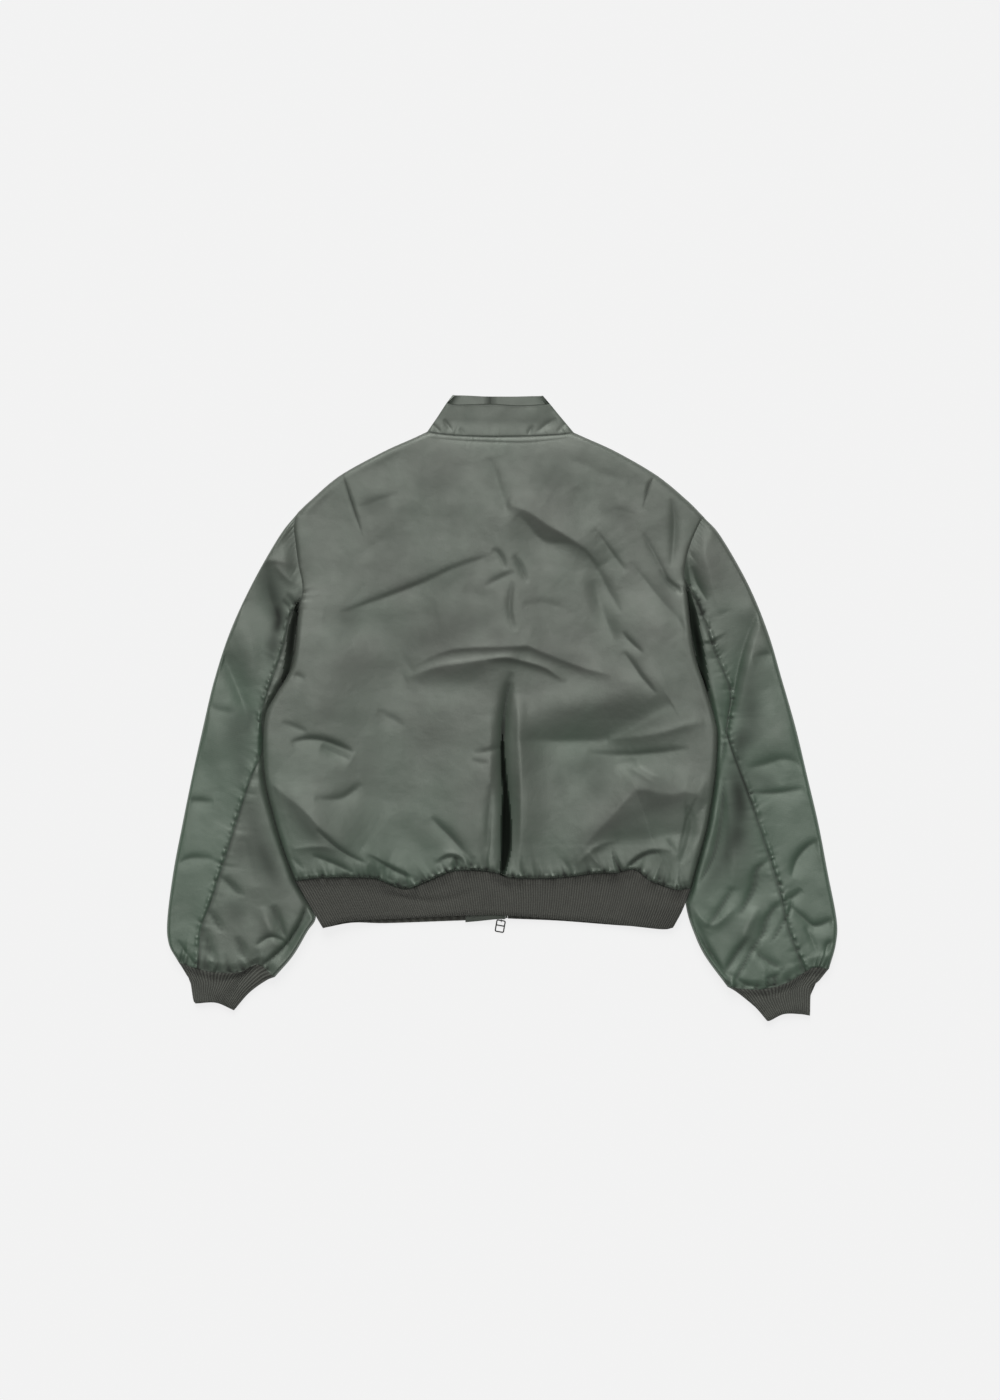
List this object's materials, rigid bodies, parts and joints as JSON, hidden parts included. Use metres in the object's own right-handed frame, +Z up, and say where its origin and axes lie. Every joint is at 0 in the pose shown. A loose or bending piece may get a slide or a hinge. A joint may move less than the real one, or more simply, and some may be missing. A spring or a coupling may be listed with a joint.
{
  "type": "bomber jacket",
  "caption": "Padded nylon bomber jacket with stand collar, ribbed waistband and cuffs and a front zip, laid flat on its front with the sleeves down.",
  "frame": {"origin": "on the surface that the jacket lies on, below the middle of its outline", "axes": "+X towards the wearer's right sleeve, +Y towards the collar, +Z up, out of the jacket's back"},
  "size_m": [0.8839, 0.8269, 0.026],
  "materials": {
    "nylon": "sage green satin nylon over padding",
    "rib_knit": "matt dark grey-green rib knit",
    "zip_tape": "matt woven tape",
    "zip_metal": "dull grey metal"
  },
  "bodies": {
    "jacket": {"back": "nylon", "front_left": "nylon", "front_right": "nylon", "sleeve_top_left": "nylon", "sleeve_top_right": "nylon", "sleeve_under_left": "nylon", "sleeve_under_right": "nylon", "collar": "nylon", "wind_flap": "nylon", "waistband": "rib_knit", "cuff_left": "rib_knit", "cuff_right": "rib_knit", "zip_tape_left": "zip_tape", "zip_tape_right": "zip_tape", "zip_slider": "zip_metal"},
    "pull": {"zip_pull": "zip_metal"}
  },
  "joints": [
    {"name": "pull_swing", "type": "hinge", "parent": "jacket", "child": "pull", "pos_m": [-0.001, -0.2816, 0.0022], "axis": [-0.9848, 0.1736, 0], "range_deg": [0, 80]}
  ]
}
